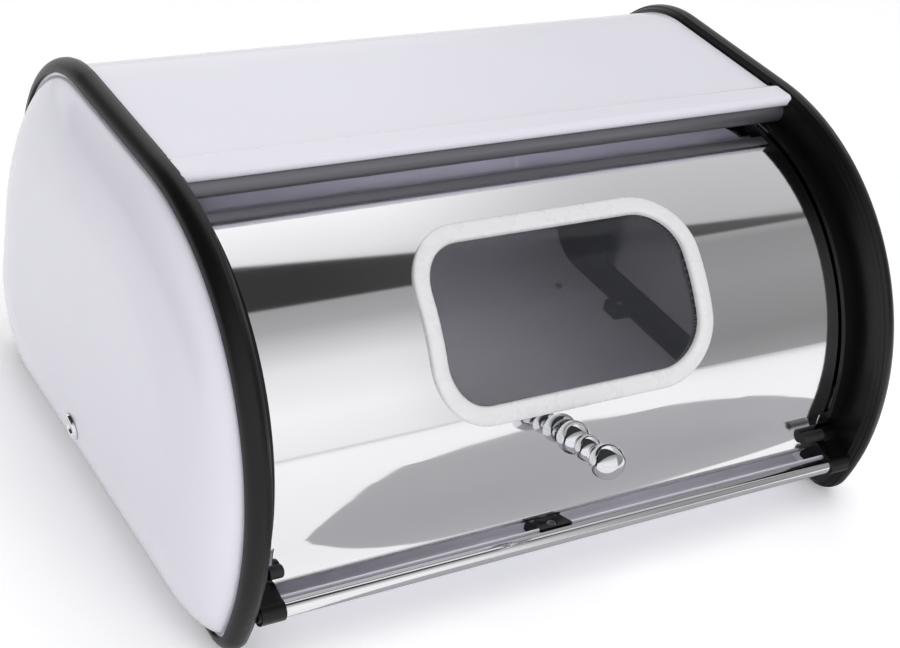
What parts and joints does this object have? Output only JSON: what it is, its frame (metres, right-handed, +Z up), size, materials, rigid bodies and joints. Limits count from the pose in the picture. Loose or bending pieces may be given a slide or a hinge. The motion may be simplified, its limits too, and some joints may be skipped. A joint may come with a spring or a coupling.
{
  "type": "roll-top bread box",
  "caption": "Roll-top bread box: coated steel bin between black moulded end frames, with a mirror-polished arc lid, an oval-cornered window, a turned knob and a front rail.",
  "frame": {"origin": "on the table, at the middle of the overall width and of the overall depth with the knob", "axes": "+X to the right as seen from the front, +Y towards the back, +Z up"},
  "size_m": [0.4022, 0.291, 0.185],
  "materials": {
    "white_enamel": "glossy powder coat",
    "black_plastic": "satin moulded",
    "polished_steel": "mirror polished",
    "satin_gunmetal": "satin lacquer",
    "chrome_plate": "bright plated",
    "plated_steel": "zinc plated",
    "magnet": "sintered",
    "white_plastic": "gloss moulded",
    "smoked_acrylic": "clear, lightly smoked",
    "nylon": "natural",
    "rubber_black": "smooth",
    "grey_strip": "satin"
  },
  "bodies": {
    "body": {"body_shell": "white_enamel", "catch_housing": "black_plastic", "catch_magnet": "magnet", "catch_pole_plates": "plated_steel", "catch_screw": "plated_steel", "channel_strip": "grey_strip", "floor_pan": "white_enamel", "floor_rivets": "plated_steel", "floor_screws": "plated_steel", "front_rail": "polished_steel", "front_tie_bar": "satin_gunmetal", "left_end_frame": "black_plastic", "left_lid_bracket": "black_plastic", "left_side_panel": "white_enamel", "left_vent_eyelet": "chrome_plate", "right_end_frame": "black_plastic", "right_lid_bracket": "black_plastic", "right_side_panel": "white_enamel", "right_vent_eyelet": "chrome_plate"},
    "lid": {"lid_panel": "polished_steel", "window_bezel": "white_plastic", "window_pane": "smoked_acrylic", "window_retainer": "white_plastic", "lid_knob": "chrome_plate", "knob_screw": "plated_steel", "knob_washer": "plated_steel", "left_lower_glide": "nylon", "right_lower_glide": "nylon", "left_upper_glide": "nylon", "right_upper_glide": "nylon", "left_lid_buffer": "rubber_black", "right_lid_buffer": "rubber_black"}
  },
  "joints": [
    {"name": "lid_roll", "type": "hinge", "parent": "body", "child": "lid", "pos_m": [0, 0.00096, 0.0545], "axis": [-1, 0, 0], "range_deg": [0, 65]}
  ]
}
